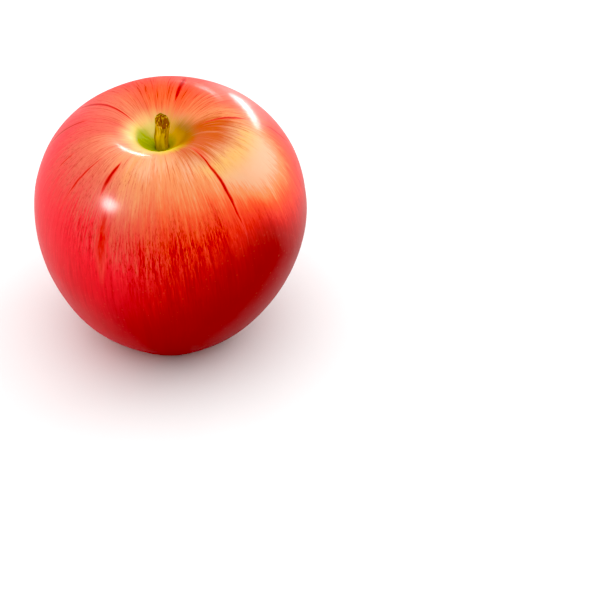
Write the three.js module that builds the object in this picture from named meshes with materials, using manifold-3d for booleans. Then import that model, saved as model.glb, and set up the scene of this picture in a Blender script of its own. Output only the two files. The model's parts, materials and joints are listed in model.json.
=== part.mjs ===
// A whole ripe apple of a striped red variety, resting upright on the five lobes of its eye end.
// Millimetres, +Z up, -Y toward the front. The origin lies on the table, under the middle of the
// fruit's box.

import * as THREE from 'three';
import { mergeVertices } from 'three/addons/utils/BufferGeometryUtils.js';
import Module from 'manifold-3d';

const wasm = await Module();
wasm.setup();

// Driving dimensions. Heights are from the fruit's widest level.

const body = {
  radius: 37,
  rings: 40,
  sides: 64,
  ringCrowding: 0.09, // draws the rings toward both ends, where the form turns fastest
  swellTwo: 0.012, // share of the radius, two swells round the girth
  swellTwoTurn: 1.75,
  swellThree: 0.005, // and three smaller ones
  swellThreeTurn: 0.1,
  deeperLeft: 0.09, // share by which the eye end reaches lower on the left flank
};

const stemEnd = {
  height: 33.3, // of the shoulders, if there were no cavity
  fullness: 2.35, // exponent of the outline, 2 being a plain ellipse
  cavityDepth: 12,
  cavityRadius: 10.5,
  cavityPower: 1.5,
  ribHeight: 0.45,
  ribRadius: 18,
  ribSpread: 9,
  ribTurn: 0.3,
};

const eyeEnd = {
  height: 41.8,
  fullness: 1.78,
  cavityDepth: 15.5,
  cavityRadius: 10.5,
  cavityPower: 1.8,
  ribHeight: 1.1,
  ribRadius: 15,
  ribSpread: 7,
  ribTurn: -Math.PI / 2,
};

const lean = {
  left: THREE.MathUtils.degToRad(4.6),
  front: THREE.MathUtils.degToRad(2),
  from: -27, // below this level the fruit stands straight, above the other it leans fully
  full: -8,
};

const flatDepth = 0.5; // how far each lobe is pressed flat where it rests

const stalk = {
  length: 12,
  sunk: 3,
  footRadius: 1.6,
  endRadius: 1.9,
  flare: 0.12,
  ridges: 7,
  ridgeHeight: 0.09,
  bend: 0.9,
  cutSlope: 0.68,
  cutTurn: THREE.MathUtils.degToRad(-60), // the side on which the cut end is lowest
  sides: 28,
  rings: 14,
};

const sepals = {
  count: 5,
  sunk: 1.2,
  height: 7.3,
  cleft: 2.7, // how far the gap between two sepals reaches down from their tips
  footRadius: 3.1,
  waistRadius: 3.55,
  mouthRadius: 3.2,
  tipRadius: 3.9,
  wall: 0.75,
  crease: 0.3,
  floor: 1.9,
  sides: 40,
  steps: 7,
};

const tuft = {
  filaments: 11,
  baseRadius: 1.75,
  baseHeight: 0.9,
  filamentRadius: 0.3,
  filamentLength: 3.2,
  ringRadius: 1.25,
  splay: 0.12,
};

const gap = 0.3; // between two pieces that meet

const skinLook = { color: 0xc8343c, roughness: 0.28, metalness: 0 };
const stalkLook = { color: 0x8a7a22, roughness: 0.6, metalness: 0 };
const sepalLook = { color: 0x6b4a2c, roughness: 0.8, metalness: 0 };
const tuftLook = { color: 0x241610, roughness: 0.9, metalness: 0 };

// Helpers

// Runs a rule over each vertex of a geometry. The rule changes the point that it is given.
function reshape(geometry, rule) {
  const position = geometry.getAttribute('position');
  const point = new THREE.Vector3();
  for (let i = 0; i < position.count; i += 1) {
    point.fromBufferAttribute(position, i);
    rule(point);
    position.setXYZ(i, point.x, point.y, point.z);
  }
  return geometry;
}

// Turns a profile of [radius, height] points round the Z axis.
function turned(profile, sides) {
  const points = profile.map(([radius, height]) => new THREE.Vector2(radius, height));
  return new THREE.LatheGeometry(points, sides).rotateX(Math.PI / 2);
}

function solidFrom(geometry) {
  const bare = geometry.clone();
  bare.deleteAttribute('normal');
  bare.deleteAttribute('uv');
  const merged = mergeVertices(bare, 1e-4);
  return new wasm.Manifold(new wasm.Mesh({
    numProp: 3,
    vertProperties: merged.getAttribute('position').array,
    triVerts: new Uint32Array(merged.index.array),
  }));
}

function geometryFrom(solid) {
  const { vertProperties, triVerts } = solid.getMesh();
  const geometry = new THREE.BufferGeometry();
  geometry.setAttribute('position', new THREE.BufferAttribute(new Float32Array(vertProperties), 3));
  geometry.setIndex(new THREE.BufferAttribute(new Uint32Array(triVerts), 1));
  return geometry;
}

// A round plug along Z between two heights.
function plug(radius, low, high, sides) {
  const geometry = new THREE.CylinderGeometry(radius, radius, high - low, sides);
  geometry.rotateX(Math.PI / 2).translate(0, 0, (low + high) / 2);
  return geometry;
}

function named(name, geometry, look) {
  geometry.computeVertexNormals();
  const mesh = new THREE.Mesh(geometry, new THREE.MeshStandardMaterial(look));
  mesh.name = name;
  return mesh;
}

function bump(distance, spread) {
  return Math.exp(-((distance / spread) ** 2));
}

// Fruit

function endHeight(end, direction, radius, reach) {
  const cavity = end.cavityDepth * Math.exp(-((radius / end.cavityRadius) ** end.cavityPower));
  return direction * (end.height * reach ** (2 / end.fullness) - cavity);
}

// The outline from the eye to the stalk: two half outlines of unlike fullness that meet at the
// widest level, each with its cavity round the axis.
function fruitProfile() {
  const profile = [];
  for (let i = 0; i <= body.rings; i += 1) {
    const share = i / body.rings;
    const angle = Math.PI * (share - body.ringCrowding * Math.sin(2 * Math.PI * share));
    const end = share < 0.5 ? eyeEnd : stemEnd;
    const direction = share < 0.5 ? -1 : 1;
    const onAxis = i === 0 || i === body.rings;
    const radius = onAxis ? 0 : body.radius * Math.sin(angle) ** (2 / end.fullness);
    profile.push([radius, endHeight(end, direction, radius, Math.abs(Math.cos(angle)))]);
  }
  return profile;
}

// Ribs on the shoulders, lobes round the eye, and a slightly uneven girth.
function uneven(point) {
  const turn = Math.atan2(point.y, point.x);
  const radius = Math.hypot(point.x, point.y);
  const end = point.z < 0 ? eyeEnd : stemEnd;
  const wave = 0.5 + 0.5 * Math.cos(5 * (turn - end.ribTurn));
  point.z += Math.sign(point.z) * end.ribHeight * wave * bump(radius - end.ribRadius, end.ribSpread);
  if (point.z < 0) {
    const flank = THREE.MathUtils.smoothstep(radius, eyeEnd.ribRadius, body.radius);
    point.z *= 1 - (body.deeperLeft * flank * point.x) / body.radius;
  }
  const two = body.swellTwo * Math.cos(2 * (turn - body.swellTwoTurn));
  const three = body.swellThree * Math.cos(3 * (turn - body.swellThreeTurn));
  point.x *= 1 + two + three;
  point.y *= 1 + two + three;
}

const leanTurn = new THREE.Vector3(lean.front, -lean.left, 0);
const leanAxis = leanTurn.clone().normalize();

function leaning(point) {
  const share = THREE.MathUtils.smoothstep(point.z, lean.from, lean.full);
  point.applyAxisAngle(leanAxis, leanTurn.length() * share);
}

const cavityFloor = stemEnd.height - stemEnd.cavityDepth;
const basinFloor = -(eyeEnd.height - eyeEnd.cavityDepth);

function makeFruit() {
  const whole = solidFrom(reshape(turned(fruitProfile(), body.sides), uneven));
  const stalkHole = plug(stalk.footRadius + gap, cavityFloor - stalk.sunk, cavityFloor + 4, 24);
  const eyeHole = plug(sepals.waistRadius + gap, basinFloor - 4, basinFloor + sepals.sunk, 30);
  const cut = whole.subtract(solidFrom(stalkHole)).subtract(solidFrom(eyeHole));
  return reshape(geometryFrom(cut), leaning);
}

// Stalk, standing along Z with its foot at the origin.
function makeStalk() {
  const profile = [[0, 0]];
  for (let i = 0; i <= stalk.rings; i += 1) {
    const share = i / stalk.rings;
    const swell = stalk.flare * bump(share - 1, 0.12);
    const grown = (stalk.endRadius - stalk.footRadius) * THREE.MathUtils.smoothstep(share, 0.18, 0.6);
    profile.push([stalk.footRadius + grown + swell, share * stalk.length]);
  }
  profile.push([0, stalk.length]);
  return reshape(turned(profile, stalk.sides), (point) => {
    const turn = Math.atan2(point.y, point.x);
    const radius = Math.hypot(point.x, point.y);
    const free = THREE.MathUtils.smoothstep(point.z, stalk.sunk, stalk.length);
    const ridge = 1 + (stalk.ridgeHeight / stalk.endRadius) * free * Math.cos(stalk.ridges * turn);
    const upper = THREE.MathUtils.smoothstep(point.z, stalk.length - 4, stalk.length);
    point.z -= upper * stalk.cutSlope * radius * Math.cos(turn - stalk.cutTurn);
    point.x = point.x * ridge + stalk.bend * free * free;
    point.y *= ridge;
  });
}

// Sepals: a cup of dried sepals, grown together at the foot and pointed at the mouth. It stands along
// Z with its foot at the origin.

function sepalWall(share, inset) {
  const waist = THREE.MathUtils.smoothstep(share, 0, 0.35);
  const mouth = THREE.MathUtils.smoothstep(share, 0.35, 0.8);
  const tip = THREE.MathUtils.smoothstep(share, 0.8, 1);
  let radius = THREE.MathUtils.lerp(sepals.footRadius, sepals.waistRadius, waist);
  radius = THREE.MathUtils.lerp(radius, sepals.mouthRadius, mouth);
  radius = THREE.MathUtils.lerp(radius, sepals.tipRadius, tip);
  return radius - inset;
}

function makeSepals() {
  const profile = [[0, 0]];
  for (let i = 0; i <= sepals.steps; i += 1) {
    const share = i / sepals.steps;
    profile.push([sepalWall(share, 0), share * sepals.height]);
  }
  for (let i = sepals.steps; i >= 0; i -= 1) {
    const height = THREE.MathUtils.lerp(sepals.floor, sepals.height, i / sepals.steps);
    profile.push([sepalWall(height / sepals.height, sepals.wall), height]);
  }
  profile.push([0, sepals.floor]);
  return reshape(turned(profile, sepals.sides), (point) => {
    const turn = Math.atan2(point.y, point.x);
    const beside = Math.abs(Math.sin((sepals.count * turn) / 2));
    const share = point.z / sepals.height;
    const upper = THREE.MathUtils.smoothstep(share, 0.35, 1);
    point.z -= upper * sepals.cleft * (1 - beside) ** 0.8;
    const shrink = 1 - (sepals.crease / sepals.waistRadius) * (1 - beside) ** 2 * upper;
    point.x *= shrink;
    point.y *= shrink;
  });
}

// Stamens: a disc with a ring of dried filaments, splayed a little outward.
function makeStamens() {
  let solid = solidFrom(plug(tuft.baseRadius, 0, tuft.baseHeight, 20));
  const { filamentRadius, filamentLength, ringRadius } = tuft;
  for (let i = 0; i < tuft.filaments; i += 1) {
    const middle = i === 0;
    const turn = (2 * Math.PI * i) / (tuft.filaments - 1);
    const length = filamentLength * (middle ? 1.15 : 0.85 + 0.15 * Math.cos(3.7 * i));
    const filament = new THREE.CylinderGeometry(filamentRadius * 0.8, filamentRadius, length, 6);
    filament.rotateX(Math.PI / 2).translate(0, 0, tuft.baseHeight - 0.3 + length / 2);
    filament.rotateY(middle ? 0 : tuft.splay).translate(middle ? 0 : ringRadius, 0, 0);
    filament.rotateZ(turn);
    solid = solid.add(solidFrom(filament));
  }
  return geometryFrom(solid);
}

// Assembly

const fruitGeometry = makeFruit();
fruitGeometry.computeBoundingBox();
const box = fruitGeometry.boundingBox;
const tableLevel = box.min.z + flatDepth;
reshape(fruitGeometry, (point) => {
  point.z = Math.max(point.z, tableLevel);
});

const stalkTilt = new THREE.Group();
stalkTilt.quaternion.setFromAxisAngle(leanAxis, leanTurn.length());
const stem = named('stem', makeStalk(), stalkLook);
stem.position.z = cavityFloor - stalk.sunk + gap;
stalkTilt.add(stem);

const eye = new THREE.Group();
eye.rotation.x = Math.PI;
eye.position.z = basinFloor + sepals.sunk - gap;
const stamens = named('stamens', makeStamens(), tuftLook);
stamens.position.z = sepals.floor + gap;
eye.add(named('calyx', makeSepals(), sepalLook), stamens);

const apple = new THREE.Group();
apple.add(named('fruit', fruitGeometry, skinLook), stalkTilt, eye);
apple.position.set(-(box.min.x + box.max.x) / 2, -(box.min.y + box.max.y) / 2, -tableLevel);

const group = new THREE.Group();
group.add(apple);

export default group;
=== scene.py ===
import json
import math

import bpy
import numpy as np
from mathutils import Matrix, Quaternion, Vector

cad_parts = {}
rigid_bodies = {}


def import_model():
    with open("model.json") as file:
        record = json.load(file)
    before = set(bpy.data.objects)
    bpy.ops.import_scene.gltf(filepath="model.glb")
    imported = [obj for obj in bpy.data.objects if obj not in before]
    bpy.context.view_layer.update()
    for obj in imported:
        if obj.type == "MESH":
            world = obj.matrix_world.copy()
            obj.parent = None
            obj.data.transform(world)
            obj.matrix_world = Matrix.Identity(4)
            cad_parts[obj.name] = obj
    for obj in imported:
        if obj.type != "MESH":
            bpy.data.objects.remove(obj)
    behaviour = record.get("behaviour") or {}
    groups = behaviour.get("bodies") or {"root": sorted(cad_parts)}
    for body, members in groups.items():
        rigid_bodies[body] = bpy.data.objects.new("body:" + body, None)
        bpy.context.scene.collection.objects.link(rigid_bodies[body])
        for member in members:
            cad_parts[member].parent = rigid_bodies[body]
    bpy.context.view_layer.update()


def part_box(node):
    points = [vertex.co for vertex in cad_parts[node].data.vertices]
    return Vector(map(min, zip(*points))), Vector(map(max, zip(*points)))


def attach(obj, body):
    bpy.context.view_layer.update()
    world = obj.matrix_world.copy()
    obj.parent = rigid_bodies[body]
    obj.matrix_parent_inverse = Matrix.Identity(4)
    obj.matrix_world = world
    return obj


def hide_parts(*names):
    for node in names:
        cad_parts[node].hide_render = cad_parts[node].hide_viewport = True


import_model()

# sizes are in mm, and become metres at the end of each geometry tree
mm = 0.001
fullTurn = 2 * math.pi
sewnGap = 0.002
print("frame loaded")


# Sockets that can be written into a formula, in a geometry tree or in a material

class Wire:
    def __init__(self, tree, socket):
        self.tree = tree
        self.socket = socket

    def __add__(self, other):
        return reckon(self.tree, "ADD", self, other)

    def __radd__(self, other):
        return reckon(self.tree, "ADD", other, self)

    def __sub__(self, other):
        return reckon(self.tree, "SUBTRACT", self, other)

    def __rsub__(self, other):
        return reckon(self.tree, "SUBTRACT", other, self)

    def __mul__(self, other):
        return reckon(self.tree, "MULTIPLY", self, other)

    def __rmul__(self, other):
        return reckon(self.tree, "MULTIPLY", other, self)

    def __truediv__(self, other):
        return reckon(self.tree, "DIVIDE", self, other)

    def __pow__(self, other):
        return reckon(self.tree, "POWER", self, other)


def feed(tree, socket, value):
    if isinstance(value, Wire):
        tree.links.new(value.socket, socket)
    elif value is not None:
        socket.default_value = value


def reckon(tree, operation, *values):
    node = tree.nodes.new("ShaderNodeMath")
    node.operation = operation
    for socket, value in zip(node.inputs, values):
        feed(tree, socket, value)
    return Wire(tree, node.outputs[0])


def cosine(value):
    return reckon(value.tree, "COSINE", value)


def sine(value):
    return reckon(value.tree, "SINE", value)


def positive(value):
    return reckon(value.tree, "MAXIMUM", value, 0.0)


# exp(-x)
def decay(value):
    return reckon(value.tree, "EXPONENT", value * -1.0)


# a bell of the given spread round zero
def bell(value, spread):
    scaled = value / spread
    return decay(scaled * scaled)


# 0 at low, 1 at high, with soft ends
def rise(value, low, high):
    tree = value.tree
    node = tree.nodes.new("ShaderNodeMapRange")
    node.interpolation_type = "SMOOTHSTEP"
    for name, number in (("Value", value), ("From Min", low), ("From Max", high)):
        feed(tree, node.inputs[name], number)
    return Wire(tree, node.outputs["Result"])


def between(first, second, share):
    return first + share * (second - first)


def combine(tree, x, y, z):
    node = tree.nodes.new("ShaderNodeCombineXYZ")
    for socket, value in zip(node.inputs, (x, y, z)):
        feed(tree, socket, value)
    return Wire(tree, node.outputs[0])


def separate(vector):
    node = vector.tree.nodes.new("ShaderNodeSeparateXYZ")
    feed(vector.tree, node.inputs[0], vector)
    return [Wire(vector.tree, socket) for socket in node.outputs]


def noise(vector, scale=1.0, detail=2.0, roughness=0.5):
    node = vector.tree.nodes.new("ShaderNodeTexNoise")
    feed(vector.tree, node.inputs["Vector"], vector)
    for name, number in (("Scale", scale), ("Detail", detail), ("Roughness", roughness)):
        node.inputs[name].default_value = number
    return Wire(vector.tree, node.outputs[0])


# Picture colours, 0 to 255, as the linear colours that materials use
def tint(red, green, blue):
    def straight(value):
        share = value / 255
        return share / 12.92 if share <= 0.04045 else ((share + 0.055) / 1.055) ** 2.4
    return (straight(red), straight(green), straight(blue), 1.0)


def blend(share, first, second):
    wire = next(w for w in (share, first, second) if isinstance(w, Wire))
    node = wire.tree.nodes.new("ShaderNodeMix")
    node.data_type = "RGBA"
    node.clamp_factor = True
    feed(wire.tree, node.inputs[0], share)
    feed(wire.tree, node.inputs[6], first)
    feed(wire.tree, node.inputs[7], second)
    return Wire(wire.tree, node.outputs[2])


def newMaterial(name, roughness, specular=0.5, coat=0.0, coatRoughness=0.1):
    material = bpy.data.materials.new(name)
    material.use_nodes = True
    tree = material.node_tree
    shader = tree.nodes["Principled BSDF"]
    shader.inputs["Roughness"].default_value = roughness
    shader.inputs["Specular IOR Level"].default_value = specular
    shader.inputs["Coat Weight"].default_value = coat
    shader.inputs["Coat Roughness"].default_value = coatRoughness
    return material, tree, shader


def attribute(tree, name):
    node = tree.nodes.new("ShaderNodeAttribute")
    node.attribute_name = name
    return node


def objectPlace(tree):
    node = tree.nodes.new("ShaderNodeTexCoord")
    return Wire(tree, node.outputs["Object"])


def stretched(vector, x, y, z):
    node = vector.tree.nodes.new("ShaderNodeVectorMath")
    node.operation = "MULTIPLY"
    feed(vector.tree, node.inputs[0], vector)
    node.inputs[1].default_value = (x, y, z)
    return Wire(vector.tree, node.outputs[0])


def bump(tree, shader, height, distance, strength=1.0):
    node = tree.nodes.new("ShaderNodeBump")
    node.inputs["Strength"].default_value = strength
    node.inputs["Distance"].default_value = distance
    feed(tree, node.inputs["Height"], height)
    tree.links.new(node.outputs["Normal"], shader.inputs["Normal"])


# Meshes

def addObject(name, data):
    added = bpy.data.objects.new(name, data)
    bpy.context.scene.collection.objects.link(added)
    return added


def newPiece(name, mesh, slot, *nodes):
    piece = addObject(name, mesh)
    for face in mesh.polygons:
        face.use_smooth = True
    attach(piece, "root")
    if nodes:
        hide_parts(*nodes)
    return piece


# Stretches a mesh by its last share of a millimetre onto the box of a node, and moves the meshes
# that stand on it along with it, still inside that box
def fitToBox(mesh, node, *companions):
    low, high = (np.array(corner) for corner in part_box(node))
    ownLow = ownHigh = None
    for part in (mesh, *companions):
        places = np.zeros(len(part.vertices) * 3)
        part.vertices.foreach_get("co", places)
        places = places.reshape(-1, 3)
        if ownLow is None:
            ownLow, ownHigh = places.min(0), places.max(0)
        places = (places - ownLow) / (ownHigh - ownLow) * (high - low) + low
        places += np.maximum(low - places.min(0), 0.0) - np.maximum(places.max(0) - high, 0.0)
        part.vertices.foreach_set("co", places.ravel())
        part.update()


# Geometry trees

def treeWithSizes(name, sizes):
    tree = bpy.data.node_groups.new(name, "GeometryNodeTree")
    tree.interface.new_socket("Geometry", in_out="OUTPUT", socket_type="NodeSocketGeometry")
    identifiers = {}
    for label, value in sizes.items():
        kind = "NodeSocketInt" if isinstance(value, int) else "NodeSocketFloat"
        socket = tree.interface.new_socket(label, in_out="INPUT", socket_type=kind)
        identifiers[label] = socket.identifier
    entry = tree.nodes.new("NodeGroupInput")
    given = {label: Wire(tree, entry.outputs[label]) for label in sizes}
    return tree, given, identifiers


# Runs a geometry tree on an empty object and returns the plain mesh
def grown(name, tree, sizes, identifiers):
    holder = addObject(name, bpy.data.meshes.new(name))
    modifier = holder.modifiers.new(name, "NODES")
    modifier.node_group = tree
    for label, value in sizes.items():
        modifier[identifiers[label]] = value
    evaluated = holder.evaluated_get(bpy.context.evaluated_depsgraph_get())
    mesh = bpy.data.meshes.new_from_object(evaluated)
    holder.modifiers.remove(modifier)
    bpy.data.objects.remove(holder)
    mesh.name = name
    return mesh


def geometryNode(tree, kind, geometry):
    node = tree.nodes.new(kind)
    tree.links.new(geometry, node.inputs[0])
    return node


# A plain shape from its sizes, as geometry
def shapeOf(tree, kind, sizes):
    node = tree.nodes.new(kind)
    for label, value in sizes.items():
        feed(tree, node.inputs[label], value)
    return node.outputs["Mesh"]


def coneOf(tree, sides, segments, top):
    sizes = {"Vertices": sides, "Side Segments": segments, "Radius Top": top, "Radius Bottom": 1.0}
    return shapeOf(tree, "GeometryNodeMeshCone", {**sizes, "Depth": 1.0})


def store(tree, geometry, name, value, kind):
    node = tree.nodes.new("GeometryNodeStoreNamedAttribute")
    node.data_type = kind
    node.domain = "POINT"
    tree.links.new(geometry, node.inputs["Geometry"])
    node.inputs["Name"].default_value = name
    feed(tree, node.inputs["Value"], value)
    return node.outputs["Geometry"]


def placeOf(tree):
    return Wire(tree, tree.nodes.new("GeometryNodeInputPosition").outputs[0])


def indexOf(tree):
    return Wire(tree, tree.nodes.new("GeometryNodeInputIndex").outputs[0])


# A flat grid, with its width as a turn and its length as a share from 0 to 1
def gridOf(tree, sides, rows):
    mesh = shapeOf(tree, "GeometryNodeMeshGrid", {"Vertices X": sides, "Vertices Y": rows})
    across, along, _ = separate(placeOf(tree))
    return mesh, (across + 0.5) * fullTurn, along + 0.5


def inMetres(tree, vector):
    return stretched(vector, mm, mm, mm)


def leant(tree, vector, angle):
    node = tree.nodes.new("ShaderNodeVectorRotate")
    node.inputs["Axis"].default_value = leanAxis
    feed(tree, node.inputs["Vector"], vector)
    feed(tree, node.inputs["Angle"], angle)
    return Wire(tree, node.outputs[0])


def moved(tree, geometry, vector):
    node = geometryNode(tree, "GeometryNodeSetPosition", geometry)
    feed(tree, node.inputs["Position"], vector)
    return node.outputs[0]


def sewnUp(tree, geometry, gap):
    sewn = geometryNode(tree, "GeometryNodeMergeByDistance", geometry)
    sewn.inputs["Distance"].default_value = gap
    return sewn.outputs[0]


def turnedOut(tree, geometry):
    return geometryNode(tree, "GeometryNodeFlipFaces", geometry).outputs[0]


# A number drawn for each point
def chance(tree, low, high, seed=None, index=None):
    node = tree.nodes.new("FunctionNodeRandomValue")
    node.data_type = "FLOAT"
    node.inputs[2].default_value = low
    node.inputs[3].default_value = high
    feed(tree, node.inputs["ID"], index)
    feed(tree, node.inputs["Seed"], seed)
    return Wire(tree, node.outputs[1])


def placedOn(tree, points, item, rotation, scale):
    put = geometryNode(tree, "GeometryNodeInstanceOnPoints", points)
    tree.links.new(item, put.inputs["Instance"])
    feed(tree, put.inputs["Rotation"], rotation)
    feed(tree, put.inputs["Scale"], scale)
    return put.outputs[0]


def closeTree(tree, geometry, material):
    real = geometryNode(tree, "GeometryNodeRealizeInstances", geometry)
    dressed = geometryNode(tree, "GeometryNodeSetMaterial", real.outputs[0])
    dressed.inputs["Material"].default_value = material
    out = tree.nodes.new("NodeGroupOutput")
    tree.links.new(dressed.outputs[0], out.inputs[0])


# Fruit

fruitBody = {
    "radius": 37.0, "rings": 260, "sides": 360, "ring crowding": 0.09,
    "swell two": 0.012, "swell two turn": 1.75, "swell three": 0.005, "swell three turn": 0.1,
    "deeper left": 0.09,
    "stem height": 33.3, "stem fullness": 2.35, "stem cavity depth": 12.0,
    "stem cavity radius": 10.5, "stem cavity power": 1.5, "stem rib height": 0.45,
    "stem rib radius": 18.0, "stem rib spread": 9.0, "stem rib turn": 0.3,
    "eye height": 41.8, "eye fullness": 1.78, "eye cavity depth": 15.5,
    "eye cavity radius": 10.5, "eye cavity power": 1.8, "eye rib height": 1.1,
    "eye rib radius": 15.0, "eye rib spread": 7.0, "eye rib turn": -math.pi / 2,
    "lean": math.radians(5.016), "lean from": -27.0, "lean full": -8.0, "flat depth": 0.5,
    "stalk hole radius": 1.75, "stalk hole depth": 2.6, "eye hole radius": 3.75, "eye hole depth": 1.2,
    "basin pleat": 0.35, "cavity pleat": 0.16, "unevenness": 0.22,
}
leanAxis = Vector((math.radians(2), -math.radians(4.6), 0)).normalized()


# Height over the widest level of one end's outline, without its cavity or holes
def endOutline(given, end, angle):
    share = reckon(angle.tree, "DIVIDE", 2.0, given[end + " fullness"])
    radius = given["radius"] * positive(sine(angle)) ** share
    height = given[end + " height"] * reckon(angle.tree, "ABSOLUTE", cosine(angle)) ** share
    return radius, height


def endHeight(given, end, turn, radius, height, holeRadius, holeDepth):
    cavity = decay((radius / given[end + " cavity radius"]) ** given[end + " cavity power"])
    wave = cosine((turn - given[end + " rib turn"]) * 5.0) * 0.5 + 0.5
    rib = given[end + " rib height"] * wave
    rib = rib * bell(radius - given[end + " rib radius"], given[end + " rib spread"])
    hole = given[holeDepth] * (1.0 - rise(radius, given[holeRadius] - 0.12, given[holeRadius] + 0.12))
    return height - given[end + " cavity depth"] * cavity + rib - hole


def makeFruitTree(material):
    tree, given, identifiers = treeWithSizes("fruit body", fruitBody)
    grid, turn, share = gridOf(tree, given["sides"] + 1.0, given["rings"] + 1.0)
    fall = share - given["ring crowding"] * sine(share * fullTurn)
    angle = reckon(tree, "MINIMUM", positive(fall), 1.0) * math.pi
    low = reckon(tree, "GREATER_THAN", share, 0.5)

    stemRadius, stemHeight = endOutline(given, "stem", angle)
    eyeRadius, eyeHeight = endOutline(given, "eye", angle)
    radius = between(stemRadius, eyeRadius, low)
    upper = endHeight(given, "stem", turn, radius, stemHeight, "stalk hole radius", "stalk hole depth")
    lower = endHeight(given, "eye", turn, radius, eyeHeight, "eye hole radius", "eye hole depth")
    flank = rise(radius, given["eye rib radius"], given["radius"])
    lower = lower * (1.0 - given["deeper left"] * flank * radius * cosine(turn) / given["radius"])

    # fine pleats that run into the cavity and the basin
    ringTurn = combine(tree, cosine(turn), sine(turn), radius * 0.03)
    pleats = noise(stretched(ringTurn, 5.0, 5.0, 5.0), detail=1.0) - 0.5
    wrinkles = noise(stretched(ringTurn, 9.0, 9.0, 9.0), detail=2.0) - 0.5
    upper = upper + given["cavity pleat"] * wrinkles * 2.0 * bell(radius - 4.5, 3.5)
    lower = lower + given["basin pleat"] * pleats * 2.0 * bell(radius - 8.0, 4.5)

    height = between(upper, lower * -1.0, low)
    swell = given["swell two"] * cosine((turn - given["swell two turn"]) * 2.0)
    swell = swell + given["swell three"] * cosine((turn - given["swell three turn"]) * 3.0) + 1.0
    uneven = combine(tree, cosine(turn) * radius, sine(turn) * radius, height)
    bulge = (noise(uneven, scale=0.055, detail=2.0) - 0.5) * given["unevenness"] * 2.0
    swell = swell + bulge * rise(radius, 6.0, 20.0) / given["radius"]
    shaped = combine(tree, cosine(turn) * radius * swell, sine(turn) * radius * swell, height)
    shaped = leant(tree, shaped, given["lean"] * rise(height, given["lean from"], given["lean full"]))

    # the skin's own coordinates are kept from the flat grid, before it takes its shape: its turn,
    # its fall from 0 at the stalk to 1 at the eye, and its distance from the axis
    around = combine(tree, cosine(turn), sine(turn), fall)
    marked = store(tree, grid, "around", around, "FLOAT_VECTOR")
    marked = store(tree, marked, "girth", radius, "FLOAT")
    sewn = sewnUp(tree, moved(tree, marked, shaped), sewnGap)

    # the lobes are pressed flat where they rest
    box = geometryNode(tree, "GeometryNodeBoundBox", sewn)
    lowest = separate(Wire(tree, box.outputs["Min"]))[2]
    x, y, z = separate(placeOf(tree))
    level = reckon(tree, "MAXIMUM", z, lowest + given["flat depth"])
    pressed = moved(tree, sewn, inMetres(tree, combine(tree, x, y, level)))
    closeTree(tree, turnedOut(tree, pressed), material)
    return tree, identifiers


# Skin

skinLook = {
    "roughness": 0.5, "specular": 0.04, "coat": 0.25, "coatRoughness": 0.21,
    "flesh": 0.06, "fleshDepth": 0.0015, "fleshReach": (1.0, 0.3, 0.1), "poreDepth": 0.00004,
    "cavityGreen": tint(156, 164, 10), "cavityGold": tint(206, 158, 52), "cavityPale": tint(214, 196, 112),
    "lipCream": tint(246, 204, 140), "lipYellow": tint(232, 206, 84),
    "ground": tint(225, 151, 100), "peachGroundAndSheen": tint(222, 168, 134), "groundGold": tint(224, 170, 104),
    "groundRust": tint(190, 84, 26), "cavityShade": tint(164, 114, 48),
    "stripe": tint(208, 40, 34), "stripeCore": tint(172, 30, 24), "stripeGlow": tint(232, 90, 78),
    "fleck": tint(188, 54, 26), "darkFleck": tint(180, 40, 30),
    "eyeGreen": tint(172, 164, 24), "eyeCream": tint(238, 212, 140), "eyeGround": tint(232, 156, 84),
    "eyePink": tint(230, 104, 88), "dot": tint(120, 60, 14), "paleDot": tint(255, 170, 120),
}

# turn in degrees, fall where it starts and ends, half width in degrees, slant in degrees, strength
boldStripes = [
    (-123, 0.145, 0.265, 1.7, -2.5, 1.0),
    (-143, 0.155, 0.350, 0.9, -6.0, 0.75),
    (-52, 0.115, 0.430, 1.0, 0.0, 0.95),
    (-50, 0.100, 0.220, 4.5, 0.0, 0.2),
    (-117, 0.270, 0.500, 3.2, 0.5, 0.5),
    (73, 0.085, 0.230, 2.5, 5.0, 1.0),
    (146, 0.065, 0.300, 1.7, 3.0, 0.9),
    (4, 0.085, 0.220, 1.3, 5.0, 0.85),
    (9, 0.260, 0.400, 1.2, 2.0, 0.75),
    (28, 0.260, 0.420, 1.3, 1.0, 0.8),
    (52, 0.230, 0.400, 1.6, -2.0, 0.8),
    (97, 0.210, 0.370, 1.2, 1.0, 0.8),
    (112, 0.240, 0.420, 2.0, -2.0, 0.9),
    (168, 0.160, 0.380, 1.4, 2.0, 0.8),
    (-163, 0.200, 0.300, 0.8, 0.0, 0.5),
]

# colours of the blush on the warm and on the pink side: 0 is where it begins, 1 where it is full
blushRamps = {
    "warm": [
        (-0.35, tint(226, 137, 90)), (0.0, tint(230, 110, 72)), (0.2, tint(231, 92, 63)),
        (0.6, tint(227, 75, 60)), (0.9, tint(216, 62, 54)), (1.15, tint(200, 53, 49)),
        (1.5, tint(178, 48, 45)), (1.9, tint(162, 42, 40)), (2.6, tint(150, 24, 24)),
    ],
    "pink": [
        (-0.35, tint(222, 132, 98)), (0.0, tint(218, 110, 86)), (0.4, tint(220, 94, 82)),
        (0.65, tint(226, 80, 76)), (0.86, tint(232, 70, 72)), (1.05, tint(235, 61, 67)),
        (1.25, tint(234, 55, 62)), (1.5, tint(228, 52, 58)), (2.3, tint(198, 42, 46)),
    ],
}

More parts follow.
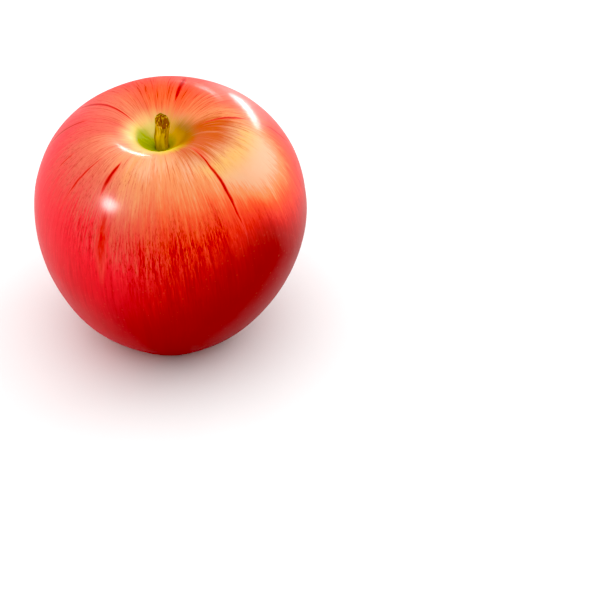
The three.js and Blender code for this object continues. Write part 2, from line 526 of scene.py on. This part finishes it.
# turn in degrees, and the fall where the blush begins and where it is full
blushPlaces = [
    (90, 0.08, 0.26), (105, 0.075, 0.26), (120, 0.095, 0.27), (135, 0.12, 0.28), (150, 0.09, 0.25),
    (165, 0.065, 0.24), (180, 0.07, 0.28), (195, 0.15, 0.335), (210, 0.16, 0.35), (225, 0.185, 0.355),
    (240, 0.22, 0.38), (255, 0.285, 0.42), (270, 0.265, 0.425), (285, 0.275, 0.405), (300, 0.285, 0.39),
    (315, 0.315, 0.38), (330, 0.365, 0.425), (345, 0.365, 0.45), (360, 0.27, 0.42), (375, 0.17, 0.36),
    (390, 0.115, 0.30), (405, 0.10, 0.27), (420, 0.075, 0.25), (435, 0.075, 0.24), (450, 0.08, 0.26),
]
blushStart = 90


def stripeGroup():
    tree = bpy.data.node_groups.new("bold stripe", "ShaderNodeTree")
    tree.interface.new_socket("Mask", in_out="OUTPUT", socket_type="NodeSocketFloat")
    for label in ("Cosine", "Sine", "Fall", "Wander", "Turn", "Start", "End", "Width", "Slant"):
        tree.interface.new_socket(label, in_out="INPUT", socket_type="NodeSocketFloat")
    entry = tree.nodes.new("NodeGroupInput")
    given = {s.name: Wire(tree, s) for s in entry.outputs if s.name}
    turn = given["Turn"]
    facing = given["Cosine"] * cosine(turn) + given["Sine"] * sine(turn)
    aside = given["Sine"] * cosine(turn) - given["Cosine"] * sine(turn)
    share = (given["Fall"] - given["Start"]) / (given["End"] - given["Start"])
    aside = aside - given["Slant"] * (share - 0.5) + given["Wander"]
    taper = bell(share - 0.42, 0.42)
    width = given["Width"] * (taper * 0.75 + 0.25)
    ragged = bell(aside, width)
    window = rise(share, -0.12, 0.14) * (1.0 - rise(share, 0.45, 1.1))
    mask = ragged * window * reckon(tree, "GREATER_THAN", facing, 0.0)
    out = tree.nodes.new("NodeGroupOutput")
    feed(tree, out.inputs[0], mask)
    return tree


def allStripes(tree, cosA, sinA, fall, wander):
    group = stripeGroup()
    total = None
    for turn, start, end, width, slant, strength in boldStripes:
        node = tree.nodes.new("ShaderNodeGroup")
        node.node_tree = group
        values = {
            "Cosine": cosA, "Sine": sinA, "Fall": fall, "Wander": wander, "Turn": math.radians(turn),
            "Start": start, "End": end, "Width": math.radians(width), "Slant": math.radians(slant),
        }
        for label, value in values.items():
            feed(tree, node.inputs[label], value)
        mask = Wire(tree, node.outputs[0]) * strength
        total = mask if total is None else reckon(tree, "MAXIMUM", total, mask)
    return total


def curveOf(tree, value, points):
    node = tree.nodes.new("ShaderNodeFloatCurve")
    feed(tree, node.inputs["Value"], value)
    curve = node.mapping.curves[0]
    while len(curve.points) < len(points):
        curve.points.new(0.5, 0.5)
    for point, (x, y) in zip(curve.points, points):
        point.location = (x, y)
    node.mapping.update()
    return Wire(tree, node.outputs[0])


def rampOf(tree, value, stops):
    node = tree.nodes.new("ShaderNodeValToRGB")
    first, last = stops[0][0], stops[-1][0]
    feed(tree, node.inputs["Fac"], (value - first) / (last - first))
    elements = node.color_ramp.elements
    while len(elements) < len(stops):
        elements.new(0.5)
    for element, (level, colour) in zip(elements, stops):
        element.position = (level - first) / (last - first)
        element.color = colour
    return Wire(tree, node.outputs["Color"])


def makeSkin():
    look = skinLook
    material, tree, shader = newMaterial(
        "apple skin", look["roughness"], look["specular"], look["coat"], look["coatRoughness"])
    shader.inputs["Subsurface Weight"].default_value = look["flesh"]
    shader.inputs["Subsurface Radius"].default_value = look["fleshReach"]
    shader.inputs["Subsurface Scale"].default_value = look["fleshDepth"]
    around = Wire(tree, attribute(tree, "around").outputs["Vector"])
    girth = Wire(tree, attribute(tree, "girth").outputs["Fac"])
    cosA, sinA, fall = separate(around)
    place = objectPlace(tree)
    turnShare = reckon(tree, "ARCTAN2", cosA, sinA * -1.0) / fullTurn + 0.5

    # streaks of several widths that follow the meridians
    broad = noise(stretched(around, 7.0, 7.0, 1.6), detail=3.0) - 0.5
    medium = noise(stretched(around, 24.0, 24.0, 5.0), detail=2.0) - 0.5
    fine = noise(stretched(around, 60.0, 60.0, 11.0), detail=1.5) - 0.5
    dashes = noise(stretched(around, 84.0, 84.0, 38.0), detail=2.0, roughness=0.65) - 0.5
    patches = noise(place, scale=48.0, detail=2.0) - 0.5
    cloud = noise(place, scale=95.0, detail=3.0) - 0.5

    # sides of the apple: pink side at the left and back, front, and the right shoulder, painted paler as a
    # painted sheen
    lower = rise(fall, 0.42, 0.64)
    pinkSide = rise(cosA * -0.93 - sinA * 0.12 + broad * 0.5 - lower * 0.17, -0.05, 0.6)
    frontSide = rise(cosA * -0.17 - sinA * 0.985 + broad * 0.2, 0.68, 0.92)
    rightSide = rise(cosA * 0.866 - sinA * 0.5 + broad * 0.2, 0.8, 0.95)
    rustSide = rise(cosA * 0.94 - sinA * 0.34 + broad * 0.3, 0.45, 0.9)

    # ground colour from the cavity outward
    unevenGirth = girth + cloud * 3.0
    wall = rise(cosA * -0.75 - sinA * 0.65 + cloud * 0.5, -0.15, 0.45)
    leftBack = rise(cosA * -0.75 + sinA * 0.65 + cloud * 0.5, 0.3, 0.8)
    cavity = blend(leftBack, look["cavityGold"], look["cavityPale"])
    cavity = blend(wall, cavity, look["cavityGreen"])
    cavity = blend((1.0 - rise(unevenGirth, 2.6, 5.0)) * 0.6, cavity, look["cavityGreen"])
    cavity = blend(rise(unevenGirth, 6.0, 8.0) * wall, cavity, look["lipYellow"])
    ring = rise(cosA * -0.9 - sinA * 0.1 + cloud * 0.6, -0.2, 0.6)
    cavity = blend(rise(unevenGirth, 5.5, 9.0) * ring, cavity, look["lipCream"])
    skin = blend(rise(patches + medium * 0.4, -0.1, 0.16), look["ground"], look["peachGroundAndSheen"])
    # the right shoulder is painted a paler peach: a painted sheen; the same peach also comes in random patches
    skin = blend(rightSide * 0.85, skin, look["peachGroundAndSheen"])
    gold = rightSide * bell(fall - 0.2, 0.04) * rise(medium + fine + patches, -0.4, 0.0)
    skin = blend(gold, skin, look["groundGold"])
    rusty = rustSide * (1.0 - rise(fall + medium * 0.1 + broad * 0.08, 0.12, 0.21))
    skin = blend(rusty * rise(medium + fine + patches * 0.5, -0.6, -0.1), skin, look["groundRust"])
    # the right inner wall of the cavity is painted a darker brown gold: painted shade
    cavity = blend(rise(cosA + cloud * 0.5, 0.5, 0.9) * rise(unevenGirth, 4.0, 7.0), cavity, look["cavityShade"])
    rear = rise(sinA * 0.9 + cosA * 0.3, -0.5, 0.5)
    inner = rise(girth + cloud * 3.5 + medium * 3.0 + rear * 2.0, 8.0, 13.0)
    skin = blend(inner, cavity, skin)

    # the blush, from where it begins to where it is full, with streaks that run into the ground
    begins = curveOf(tree, turnShare, [((turn - blushStart) / 360, begin) for turn, begin, _ in blushPlaces])
    fills = curveOf(tree, turnShare, [((turn - blushStart) / 360, full) for turn, _, full in blushPlaces])
    redness = (fall - begins) / (fills - begins)
    streaks = broad * 0.45 + medium * 0.35 + fine * 0.65 + dashes * 0.6
    blush = redness + streaks + (fine + dashes) * bell(redness - 0.9, 0.6) * frontSide
    colour = blend(pinkSide, rampOf(tree, blush, blushRamps["warm"]), rampOf(tree, blush, blushRamps["pink"]))
    skin = blend(rise(blush + streaks, -1.1, -0.3) * inner, skin, colour)

    # thin radiating lines near the cavity and flecks toward the blush
    lines = rise(fine + dashes * 0.5 + medium * 0.3, 0.09, 0.2)
    radiating = lines * rise(girth, 9.0, 13.0) * (1.0 - rise(fall, 0.13, 0.26))
    skin = blend(radiating * (0.35 + rear * 0.4), skin, look["fleck"])
    fleckZone = bell(redness - 0.9 + broad, 0.65) * (0.3 + 0.7 * frontSide) * (1.0 - pinkSide * 0.4)
    ticks = noise(stretched(around, 125.0, 125.0, 52.0), detail=2.0, roughness=0.7) - 0.5
    scratches = rise(ticks + fine * 0.5 + medium * 0.3, 0.07, 0.17) * bell(fall - 0.13, 0.07) * inner
    skin = blend(scratches * (rustSide * 0.45 + rear * 0.3 + 0.12), skin, look["fleck"])
    flecks = rise(ticks + fine * 0.35 + fleckZone * 0.08, 0.06, 0.18)
    skin = blend(flecks * fleckZone * 0.85, skin, look["darkFleck"])
    specks = noise(stretched(around, 120.0, 120.0, 75.0), detail=1.0) - 0.5
    speckZone = reckon(tree, "MAXIMUM", fleckZone, pinkSide * bell(fall - 0.22 + broad * 0.2, 0.09) * 0.7)
    specks = rise(specks + speckZone * 0.06 + patches * 0.15, 0.13, 0.2)
    skin = blend(specks * speckZone * 0.7, skin, look["darkFleck"])

    # the eye end: pink, then speckled orange, a cream rim and a yellow-green basin
    eyeSide = rise(fall, 0.76, 0.8)
    ragged = girth + cloud * 4.0 + patches * 6.0 + (medium + fine) * 4.0
    skin = blend(eyeSide * (1.0 - rise(ragged, 15.0, 22.0)) * 0.85, skin, look["eyePink"])
    skin = blend(eyeSide * (1.0 - rise(ragged, 12.5, 17.0)), skin, look["eyeGround"])
    skin = blend(eyeSide * (1.0 - rise(ragged, 8.0, 12.5)) * 0.9, skin, look["eyeCream"])
    skin = blend(eyeSide * (1.0 - rise(unevenGirth, 4.5, 8.5)), skin, look["eyeGreen"])
    rust = noise(place, scale=900.0, detail=3.0) - 0.5
    speckled = eyeSide * rise(girth, 5.0, 9.0) * (1.0 - rise(girth, 17.0, 21.0))
    skin = blend(rise(rust + patches * 0.3, 0.09, 0.2) * speckled * 0.8, skin, look["dot"])

    wander = (noise(stretched(around, 5.0, 5.0, 14.0), detail=2.0) - 0.5) * 0.035 + fine * 0.02
    stripes = allStripes(tree, cosA, sinA, fall, wander)
    skin = blend(rise(stripes, 0.02, 0.35) * 0.5, skin, look["stripeGlow"])
    skin = blend(rise(stripes + dashes * 0.4, 0.2, 0.6) * 0.9, skin, look["stripe"])
    skin = blend(rise(stripes + dashes * 0.6, 0.6, 0.95) * 0.8, skin, look["stripeCore"])

    # corky dots, brown round the eye and pale elsewhere
    cells = tree.nodes.new("ShaderNodeTexVoronoi")
    cells.inputs["Scale"].default_value = 620.0
    feed(tree, cells.inputs["Vector"], place)
    dots = 1.0 - rise(Wire(tree, cells.outputs["Distance"]), 0.12, 0.22)
    skin = blend(dots * rise(fall, 0.78, 0.9) * 0.75, skin, look["dot"])
    skin = blend(dots * (1.0 - rise(fall, 0.6, 0.8)) * 0.03, skin, look["paleDot"])

    # the wax is dull on the back shoulder
    shoulder = rise(sinA * 0.985 - cosA * 0.17 + broad * 0.1, 0.66, 0.84) * rise(fall, 0.05, 0.1)
    feed(tree, shader.inputs["Coat Weight"], look["coat"] * (1.0 - shoulder * 0.95))

    tree.links.new(skin.socket, shader.inputs["Base Color"])
    pores = noise(place, scale=1500.0, detail=2.0)
    relief = pores * 0.5 + dots * 0.4 + fine * 0.35
    bump(tree, shader, relief, look["poreDepth"], 0.6)
    return material


def makeFruit():
    material = makeSkin()
    tree, identifiers = makeFruitTree(material)
    mesh = grown("fruitBody", tree, fruitBody, identifiers)
    fitToBox(mesh, "fruit")
    newPiece("fruitBody", mesh, "skin", "fruit")
    print("fruit body:", len(mesh.polygons), "faces")


makeFruit()


# Stalk

stalkBody = {
    "length": 12.0, "sunk": 3.0, "foot radius": 1.6, "end radius": 1.86, "flare": 0.04,
    "ridges": 7.0, "ridge height": 0.07, "fibre height": 0.06, "bend": 0.9, "chamfer": 0.45,
    "cut slope": 0.68, "cut turn": math.radians(-60), "torn": 0.3, "rows": 170, "sides": 150,
}

splinters = {"count": 44, "fibre length": 1.0, "thickness": 0.075, "seed": 7}

stalkLook = {
    "barkDark": tint(166, 130, 26), "barkPale": tint(232, 194, 84), "barkLine": tint(240, 218, 140),
    "barkStain": tint(128, 80, 18), "barkFoot": tint(232, 212, 120),
    "coreDark": tint(140, 86, 30), "corePale": tint(236, 190, 84), "coreMiddle": tint(118, 68, 26),
    "fibreDark": tint(120, 76, 14), "fibrePale": tint(240, 214, 130),
}


# Distance along and round the stalk shaped into its place, in mm
def stalkPlace(given, turn, radial, level):
    length = given["length"]
    share = level / length
    grown = (given["end radius"] - given["foot radius"]) * rise(share, 0.18, 0.6)
    radius = given["foot radius"] + grown + given["flare"] * bell(share - 1.0, 0.12)
    free = rise(level, given["sunk"], length)
    ridge = cosine(turn * given["ridges"]) * free * given["ridge height"]
    lines = combine(turn.tree, cosine(turn) * 7.0, sine(turn) * 7.0, level * 0.22)
    fibre = (noise(lines, detail=2.0) - 0.5) * given["fibre height"] * 2.0
    knots = combine(turn.tree, cosine(turn) * 1.2, sine(turn) * 1.2, level * 0.5)
    lumps = (noise(knots, detail=1.0) - 0.5) * 0.16
    radius = (radius + ridge + fibre + lumps * free) * radial
    upper = rise(level, length - 4.0, length)
    cut = upper * given["cut slope"] * radius * cosine(turn - given["cut turn"])
    x = cosine(turn) * radius + given["bend"] * free * free
    return x, sine(turn) * radius, level - cut


def makeStalkTree(material):
    tree, given, identifiers = treeWithSizes("stalk", stalkBody)
    grid, turn, share = gridOf(tree, given["sides"] + 1.0, given["rows"] + 1.0)
    footShare, endShare = 0.06, 0.68
    radial = reckon(tree, "MINIMUM", share / footShare, (1.0 - share) / (1.0 - endShare))
    radial = reckon(tree, "MINIMUM", radial, 1.0)
    climb = positive(reckon(tree, "MINIMUM", (share - footShare) / (endShare - footShare), 1.0))
    level = climb * given["length"]
    x, y, z = stalkPlace(given, turn, radial, level)
    onCut = rise(share, endShare - 0.005, endShare + 0.02)
    grain = combine(tree, x, y, 0.0)
    torn = (noise(grain, scale=2.2, detail=3.0, roughness=0.65) - 0.5) * given["torn"] * 2.0
    pith = bell(radial, 0.45) * 0.55
    z = z + onCut * (torn - pith) - onCut * given["chamfer"] * rise(radial, 0.72, 1.0)
    marked = store(tree, grid, "share", share, "FLOAT")
    around = combine(tree, cosine(turn), sine(turn), level / given["length"])
    marked = store(tree, marked, "around", around, "FLOAT_VECTOR")
    shaped = moved(tree, marked, inMetres(tree, leant(tree, combine(tree, x, y, z), fruitBody["lean"])))
    closeTree(tree, turnedOut(tree, sewnUp(tree, shaped, sewnGap * mm)), material)
    return tree, identifiers


# Torn fibres that stand out of the cut end, most of them on its right
def makeSplinterTree(material):
    sizes = {**stalkBody, **splinters}
    tree, given, identifiers = treeWithSizes("splinters", sizes)
    line = shapeOf(tree, "GeometryNodeMeshLine", {"Count": given["count"]})
    index = indexOf(tree)

    def drawn(low, high, step):
        return chance(tree, low, high, given["seed"] + float(step), index)

    turn = drawn(-2.2, 3.2, 0)
    radial = reckon(tree, "SQRT", drawn(0.05, 0.95, 1))
    x, y, z = stalkPlace(given, turn, radial, given["length"])
    foot = leant(tree, combine(tree, x, y, z - 0.25), fruitBody["lean"])
    spots = moved(tree, line, inMetres(tree, foot))
    rotation = combine(tree, drawn(-0.5, 0.5, 2), drawn(-0.1, 0.9, 3), 0.0)
    thick = given["thickness"] * drawn(0.5, 1.3, 4)
    rightward = rise(cosine(turn - 0.6) * radial, 0.1, 0.8)
    tall = given["fibre length"] * drawn(0.35, 0.75, 5) * (0.45 + rightward * 0.9)
    scale = inMetres(tree, combine(tree, thick, thick, tall))
    closeTree(tree, placedOn(tree, spots, coneOf(tree, 6, 5, 0.12), rotation, scale), material)
    return tree, identifiers, sizes


def makeStalkMaterial():
    look = stalkLook
    material, tree, shader = newMaterial("stalk bark", 0.4, 0.5, 0.15, 0.25)
    around = Wire(tree, attribute(tree, "around").outputs["Vector"])
    share = Wire(tree, attribute(tree, "share").outputs["Fac"])
    level = separate(around)[2]
    lines = noise(stretched(around, 6.0, 6.0, 1.4), detail=3.0) - 0.5
    bands = noise(stretched(around, 1.3, 1.3, 2.6), detail=2.0) - 0.5
    bark = blend(rise(lines + bands * 0.7, -0.24, 0.22), look["barkDark"], look["barkPale"])
    bark = blend(rise(lines, 0.1, 0.24) * 0.5, bark, look["barkLine"])
    stain = rise(noise(stretched(around, 1.6, 1.6, 5.0), detail=2.0) + level * 0.25, 0.66, 0.84)
    bark = blend(stain * 0.6, bark, look["barkStain"])
    bark = blend(rise(level + lines * 0.2, 0.36, 0.27) * 0.6, bark, look["barkFoot"])
    grain = noise(stretched(objectPlace(tree), 2600.0, 800.0, 500.0), detail=2.0) - 0.5
    core = blend(rise(grain, 0.04, 0.16), look["coreDark"], look["corePale"])
    core = blend(rise(share + grain * 0.1, 0.86, 0.97) * 0.7, core, look["coreMiddle"])
    onCut = rise(share + grain * 0.03 + lines * 0.04, 0.7, 0.725)
    skin = blend(onCut, bark, core)
    feed(tree, shader.inputs["Specular IOR Level"], 0.5 - onCut * 0.44)
    feed(tree, shader.inputs["Coat Weight"], 0.15 - onCut * 0.15)
    tree.links.new(skin.socket, shader.inputs["Base Color"])
    bump(tree, shader, lines + grain * 0.3, 0.00008, 0.6)
    return material


def makeSplinterMaterial():
    material, tree, shader = newMaterial("torn fibres", 0.6, 0.3)
    grain = noise(objectPlace(tree), scale=900.0, detail=1.0)
    skin = blend(rise(grain, 0.42, 0.58), stalkLook["fibreDark"], stalkLook["fibrePale"])
    tree.links.new(skin.socket, shader.inputs["Base Color"])
    return material


def makeStalk():
    tree, identifiers = makeStalkTree(makeStalkMaterial())
    body = grown("stalkBody", tree, stalkBody, identifiers)
    tree, identifiers, sizes = makeSplinterTree(makeSplinterMaterial())
    torn = grown("stalkSplinters", tree, sizes, identifiers)
    fitToBox(body, "stem", torn)
    newPiece("stalkBody", body, "stalk", "stem")
    newPiece("stalkSplinters", torn, "stalk")
    print("stalk:", len(body.polygons), "faces and", len(torn.polygons), "in its torn fibres")


makeStalk()


# Sepals and the dried tuft inside them

sepalCup = {
    "count": 5.0, "height": 7.3, "foot radius": 3.1, "waist radius": 3.55, "mouth radius": 3.15,
    "tip radius": 3.9, "wall": 0.7, "edge wall": 0.28, "floor": 1.9, "cleft": 4.4, "ragged": 0.8,
    "nerve": 0.12, "crumple": 0.5, "rows": 150, "sides": 300,
}

sepalHairs = {"density": 5.5, "length": 0.55, "thickness": 0.035, "seed": 11}

dryTuft = {
    "count": 22, "length": 3.1, "thickness": 0.13, "anther": 0.3, "ring": 1.25, "disc": 1.75, "seed": 3,
    "leaf turn": 2.399963, "filament height": 0.75,
}

eyeLook = {
    "wallFoot": tint(176, 168, 70), "wallMiddle": tint(168, 88, 48), "wallTip": tint(92, 52, 34),
    "vein": tint(222, 186, 140), "edge": tint(232, 214, 190), "speck": tint(60, 34, 20),
    "hollowShade": tint(20, 12, 8), "hollowPale": tint(74, 44, 26),
    "hairDark": tint(150, 110, 76), "hairPale": tint(226, 204, 172),
    "tuftDark": tint(22, 13, 9), "tuftPale": tint(92, 62, 38),
}


def makeSepalTree(material):
    tree, given, identifiers = treeWithSizes("sepals", sepalCup)
    grid, turn, share = gridOf(tree, given["sides"] + 1.0, given["rows"] + 1.0)
    foot = reckon(tree, "MINIMUM", share / 0.05, 1.0)
    outer = positive(reckon(tree, "MINIMUM", (share - 0.05) / 0.45, 1.0))
    inner = positive(reckon(tree, "MINIMUM", (share - 0.5) / 0.4, 1.0))
    last = positive(reckon(tree, "MINIMUM", (1.0 - share) / 0.1, 1.0))
    floorShare = given["floor"] / given["height"]
    climb = outer - inner * (1.0 - floorShare)
    waist = rise(climb, 0.0, 0.35)
    radius = given["foot radius"] + (given["waist radius"] - given["foot radius"]) * waist
    radius = between(radius, given["mouth radius"], rise(climb, 0.35, 0.8))
    radius = between(radius, given["tip radius"], rise(climb, 0.8, 1.0))
    thin = between(given["wall"], given["edge wall"], rise(climb, 0.3, 0.9))
    inside = rise(share, 0.5, 0.515)
    beside = reckon(tree, "ABSOLUTE", sine(turn * given["count"] * 0.5))
    upper = rise(climb, 0.3, 1.0)
    crumpling = combine(tree, cosine(turn) * 1.6, sine(turn) * 1.6, climb * 2.4)
    crumple = (noise(crumpling, detail=2.0) - 0.5) * given["crumple"] * 2.0 * rise(climb, 0.25, 0.8)
    nerves = cosine(turn * given["count"] * 3.0) * given["nerve"] * rise(climb, 0.1, 0.5)
    curl = (1.0 - beside) ** 2.0 * upper * 0.55
    radius = radius + crumple + nerves - curl - inside * thin
    ragging = combine(tree, cosine(turn) * 5.0, sine(turn) * 5.0, 0.0)
    ragged = noise(ragging, detail=3.0, roughness=0.7) * given["ragged"]
    cleft = given["cleft"] * (1.0 - beside) ** 0.8 + ragged
    height = climb * given["height"] - upper * cleft
    radius = radius * foot * last
    shape = combine(tree, cosine(turn) * radius, sine(turn) * radius * -1.0, height * -1.0)
    marked = store(tree, grid, "around", combine(tree, cosine(turn), sine(turn), climb), "FLOAT_VECTOR")
    marked = store(tree, marked, "inside", inside, "FLOAT")
    shaped = moved(tree, marked, inMetres(tree, shape))
    closeTree(tree, turnedOut(tree, sewnUp(tree, shaped, sewnGap * mm)), material)
    return tree, identifiers


# A few short dry hairs on the outside of the sepals
def makeSepalHairTree(sepals, material):
    tree, given, identifiers = treeWithSizes("sepal hairs", sepalHairs)
    source = tree.nodes.new("GeometryNodeObjectInfo")
    source.inputs["Object"].default_value = sepals
    spread = geometryNode(tree, "GeometryNodeDistributePointsOnFaces", source.outputs["Geometry"])
    feed(tree, spread.inputs["Density"], given["density"] / (mm * mm))
    feed(tree, spread.inputs["Seed"], given["seed"])
    tall = given["length"] * chance(tree, 0.4, 1.1)
    scale = inMetres(tree, combine(tree, given["thickness"], given["thickness"], tall))
    rotation = Wire(tree, spread.outputs["Rotation"])
    hairs = placedOn(tree, spread.outputs["Points"], coneOf(tree, 4, 2, 0.1), rotation, scale)
    closeTree(tree, hairs, material)
    return tree, identifiers


def makeTuftTree(material):
    tree, given, identifiers = treeWithSizes("dried tuft", dryTuft)
    index = indexOf(tree)

    def drawn(low, high, step):
        return chance(tree, low, high, given["seed"] + float(step), index)

    # one filament: a thin bent stem with a shrivelled anther at its end
    sizes = {"Vertices": 8, "Side Segments": 22, "Radius": 1.0, "Depth": 1.0}
    x, y, z = separate(placeOf(tree))
    share = z + 0.5
    thick = given["thickness"] * (1.0 - share * 0.3) + given["anther"] * bell(share - 0.92, 0.07)
    bend = share * share * 0.5 + sine(share * 9.0) * 0.05
    bent = combine(tree, x * thick + bend, y * thick, share * given["length"])
    filament = moved(tree, shapeOf(tree, "GeometryNodeMeshCylinder", sizes), bent)

    line = shapeOf(tree, "GeometryNodeMeshLine", {"Count": given["count"]})
    turn = index * given["leaf turn"]
    ring = given["ring"] * reckon(tree, "SQRT", index / given["count"]) * 1.1
    foot = combine(tree, cosine(turn) * ring, sine(turn) * ring, given["filament height"])
    spots = moved(tree, line, foot)
    rotation = combine(tree, 0.0, drawn(-0.35, 0.05, 0), turn + drawn(-0.5, 0.5, 1))
    filaments = placedOn(tree, spots, filament, rotation, combine(tree, 1.0, 1.0, drawn(0.75, 1.0, 2)))

    # the cushion that they stand on
    disc, turn, share = gridOf(tree, 61, 31)
    out = reckon(tree, "MINIMUM", share / 0.3, (1.0 - share) / 0.5)
    out = reckon(tree, "MINIMUM", out, 1.0) * given["disc"]
    x, y = cosine(turn) * out, sine(turn) * out
    lumps = (noise(combine(tree, x, y, 0.0), scale=1.5) - 0.5) * 0.3 * rise(share, 0.5, 0.6)
    lift = rise(share, 0.28, 0.52) * 0.8 + rise(share, 0.5, 1.0) * 0.25 + lumps
    cushion = moved(tree, disc, combine(tree, x, y, lift))
    whole = geometryNode(tree, "GeometryNodeJoinGeometry", filaments)
    tree.links.new(sewnUp(tree, cushion, sewnGap * mm), whole.inputs[0])
    real = geometryNode(tree, "GeometryNodeRealizeInstances", whole.outputs[0])
    turnedOver = moved(tree, real.outputs[0], stretched(placeOf(tree), mm, -mm, -mm))
    closeTree(tree, turnedOver, material)
    return tree, identifiers


def makeSepalMaterial():
    look = eyeLook
    material, tree, shader = newMaterial("dry sepal", 0.7, 0.3)
    around = Wire(tree, attribute(tree, "around").outputs["Vector"])
    inside = Wire(tree, attribute(tree, "inside").outputs["Fac"])
    climb = separate(around)[2]
    veins = noise(stretched(around, 9.0, 9.0, 1.4), detail=3.0) - 0.5
    specks = noise(objectPlace(tree), scale=1400.0, detail=2.0) - 0.5
    wall = blend(rise(climb + veins * 0.5, 0.3, 0.62), look["wallFoot"], look["wallMiddle"])
    wall = blend(rise(climb + veins * 0.4, 0.62, 0.95), wall, look["wallTip"])
    wall = blend(rise(veins, 0.1, 0.2) * 0.6, wall, look["vein"])
    wall = blend(bell(climb - 1.0, 0.035) * 0.8, wall, look["edge"])
    wall = blend(rise(specks, 0.08, 0.2) * 0.4, wall, look["speck"])
    # inside the cup: brown near the rim, painted near black deeper down as painted shade in the hollow
    hollow = blend(rise(climb, 0.75, 1.0), look["hollowShade"], look["hollowPale"])
    skin = blend(inside, wall, hollow)
    tree.links.new(skin.socket, shader.inputs["Base Color"])
    bump(tree, shader, veins + specks * 0.4, 0.00015, 0.7)
    return material


def makeTuftMaterial(name, dark, pale):
    material, tree, shader = newMaterial(name, 0.8, 0.25)
    mottling = noise(objectPlace(tree), scale=1100.0, detail=3.0)
    skin = blend(rise(mottling, 0.4, 0.64), dark, pale)
    tree.links.new(skin.socket, shader.inputs["Base Color"])
    bump(tree, shader, mottling, 0.0001, 0.6)
    return material


def makeEye():
    look = eyeLook
    tree, identifiers = makeSepalTree(makeSepalMaterial())
    cup = grown("sepalCup", tree, sepalCup, identifiers)
    fitToBox(cup, "calyx")
    sepals = newPiece("sepalCup", cup, "sepal", "calyx")
    hairLook = makeTuftMaterial("sepal hair", look["hairDark"], look["hairPale"])
    tree, identifiers = makeSepalHairTree(sepals, hairLook)
    newPiece("sepalHairs", grown("sepalHairs", tree, sepalHairs, identifiers), "sepal")
    tree, identifiers = makeTuftTree(makeTuftMaterial("dried stamen", look["tuftDark"], look["tuftPale"]))
    tuft = grown("stamenTuft", tree, dryTuft, identifiers)
    fitToBox(tuft, "stamens")
    newPiece("stamenTuft", tuft, "stamen", "stamens")
    print("eye:", len(cup.polygons), "faces in the sepals,", len(tuft.polygons), "in the tuft")


makeEye()


# Stage, light and camera

stage = {
    "floor": 6.0, "floorTint": (0.85, 0.85, 0.85, 1.0),
    "aim": Vector((34.7, 0.0, 5.2)) * mm, "distance": 1.0, "elevation": math.radians(38), "lens": 219.3,
    "black": 0.05, "lampHeight": 0.034,
}

# azimuth from +X toward +Y and elevation in degrees, distance, width and height in metres, watts,
# roll in degrees, and what the lamp adds
lamps = {
    "streakWindow": (67, 10, 0.9, 0.46, 0.1, 6.2, -38, "gloss"),
    "lipWindow": (89, 13, 0.9, 0.025, 0.17, 1.2, 0, "gloss"),
    "sheenWindow": (30, 22, 0.9, 0.5, 0.5, 4.0, 0, "gloss"),
    "leftBox": (-154, 37.5, 1.0, 0.21, 0.19, 11.5, 0, "gloss"),
    "broadWindow": (30, 22, 0.9, 0.5, 0.5, 2.6, 0, "light"),
}

# strength of the room's light from above, from the sides and from the far left, and the levels
# between which it turns from side to top
room = {"top": 1.62, "side": 0.42, "farSide": 1.25, "sideLevel": 0.0, "topLevel": 0.95}


def makeStage():
    side = stage["floor"]
    corners = [(-side, -side, 0), (side, -side, 0), (side, side, 0), (-side, side, 0)]
    mesh = bpy.data.meshes.new("floor")
    mesh.from_pydata(corners, [], [(0, 1, 2, 3)])
    floor = addObject("floor", mesh)
    material, _, shader = newMaterial("white card", 0.75, 0.25)
    shader.inputs["Base Color"].default_value = stage["floorTint"]
    mesh.materials.append(material)


def makeLamps():
    middle = Vector((0, 0, stage["lampHeight"]))
    for name, (azimuth, elevation, distance, width, height, power, roll, kind) in lamps.items():
        a, e = math.radians(azimuth), math.radians(elevation)
        away = Vector((math.cos(a) * math.cos(e), math.sin(a) * math.cos(e), math.sin(e)))
        data = bpy.data.lights.new(name, "AREA")
        data.shape = "RECTANGLE"
        data.size, data.size_y = width, height
        data.energy = power
        lamp = addObject(name, data)
        lamp.location = middle + away * distance
        lamp.rotation_mode = "QUATERNION"
        lamp.rotation_quaternion = away.to_track_quat("Z", "Y") @ Quaternion((0, 0, 1), math.radians(roll))
        lamp.visible_diffuse = kind == "light"
        lamp.visible_glossy = kind == "gloss"
    world = bpy.data.worlds.new("white room")
    world.use_nodes = True
    tree = world.node_tree
    direction = Wire(tree, tree.nodes.new("ShaderNodeTexCoord").outputs["Generated"])
    rightward, backward, height = separate(direction)
    side = room["side"] + rise(backward * 0.8 - rightward * 0.5, 0.0, 0.9) * (room["farSide"] - room["side"])
    light = between(side, room["top"], rise(height, room["sideLevel"], room["topLevel"]))
    tree.nodes["Background"].inputs["Color"].default_value = (1.0, 1.0, 1.0, 1.0)
    feed(tree, tree.nodes["Background"].inputs["Strength"], light)
    bpy.context.scene.world = world


def makeCamera():
    e = stage["elevation"]
    back = Vector((0.0, -math.cos(e), math.sin(e)))
    data = bpy.data.cameras.new("camera")
    data.lens = stage["lens"]
    data.sensor_width = 36.0
    camera = addObject("camera", data)
    camera.location = stage["aim"] + back * stage["distance"]
    camera.rotation_mode = "QUATERNION"
    camera.rotation_quaternion = back.to_track_quat("Z", "Y")
    bpy.context.scene.camera = camera
    view = bpy.context.scene.view_settings
    view.view_transform = "Standard"
    view.use_curve_mapping = True
    view.curve_mapping.black_level = (stage["black"],) * 3
    view.curve_mapping.update()


makeStage()
makeLamps()
makeCamera()
print("stage, lights and camera set")
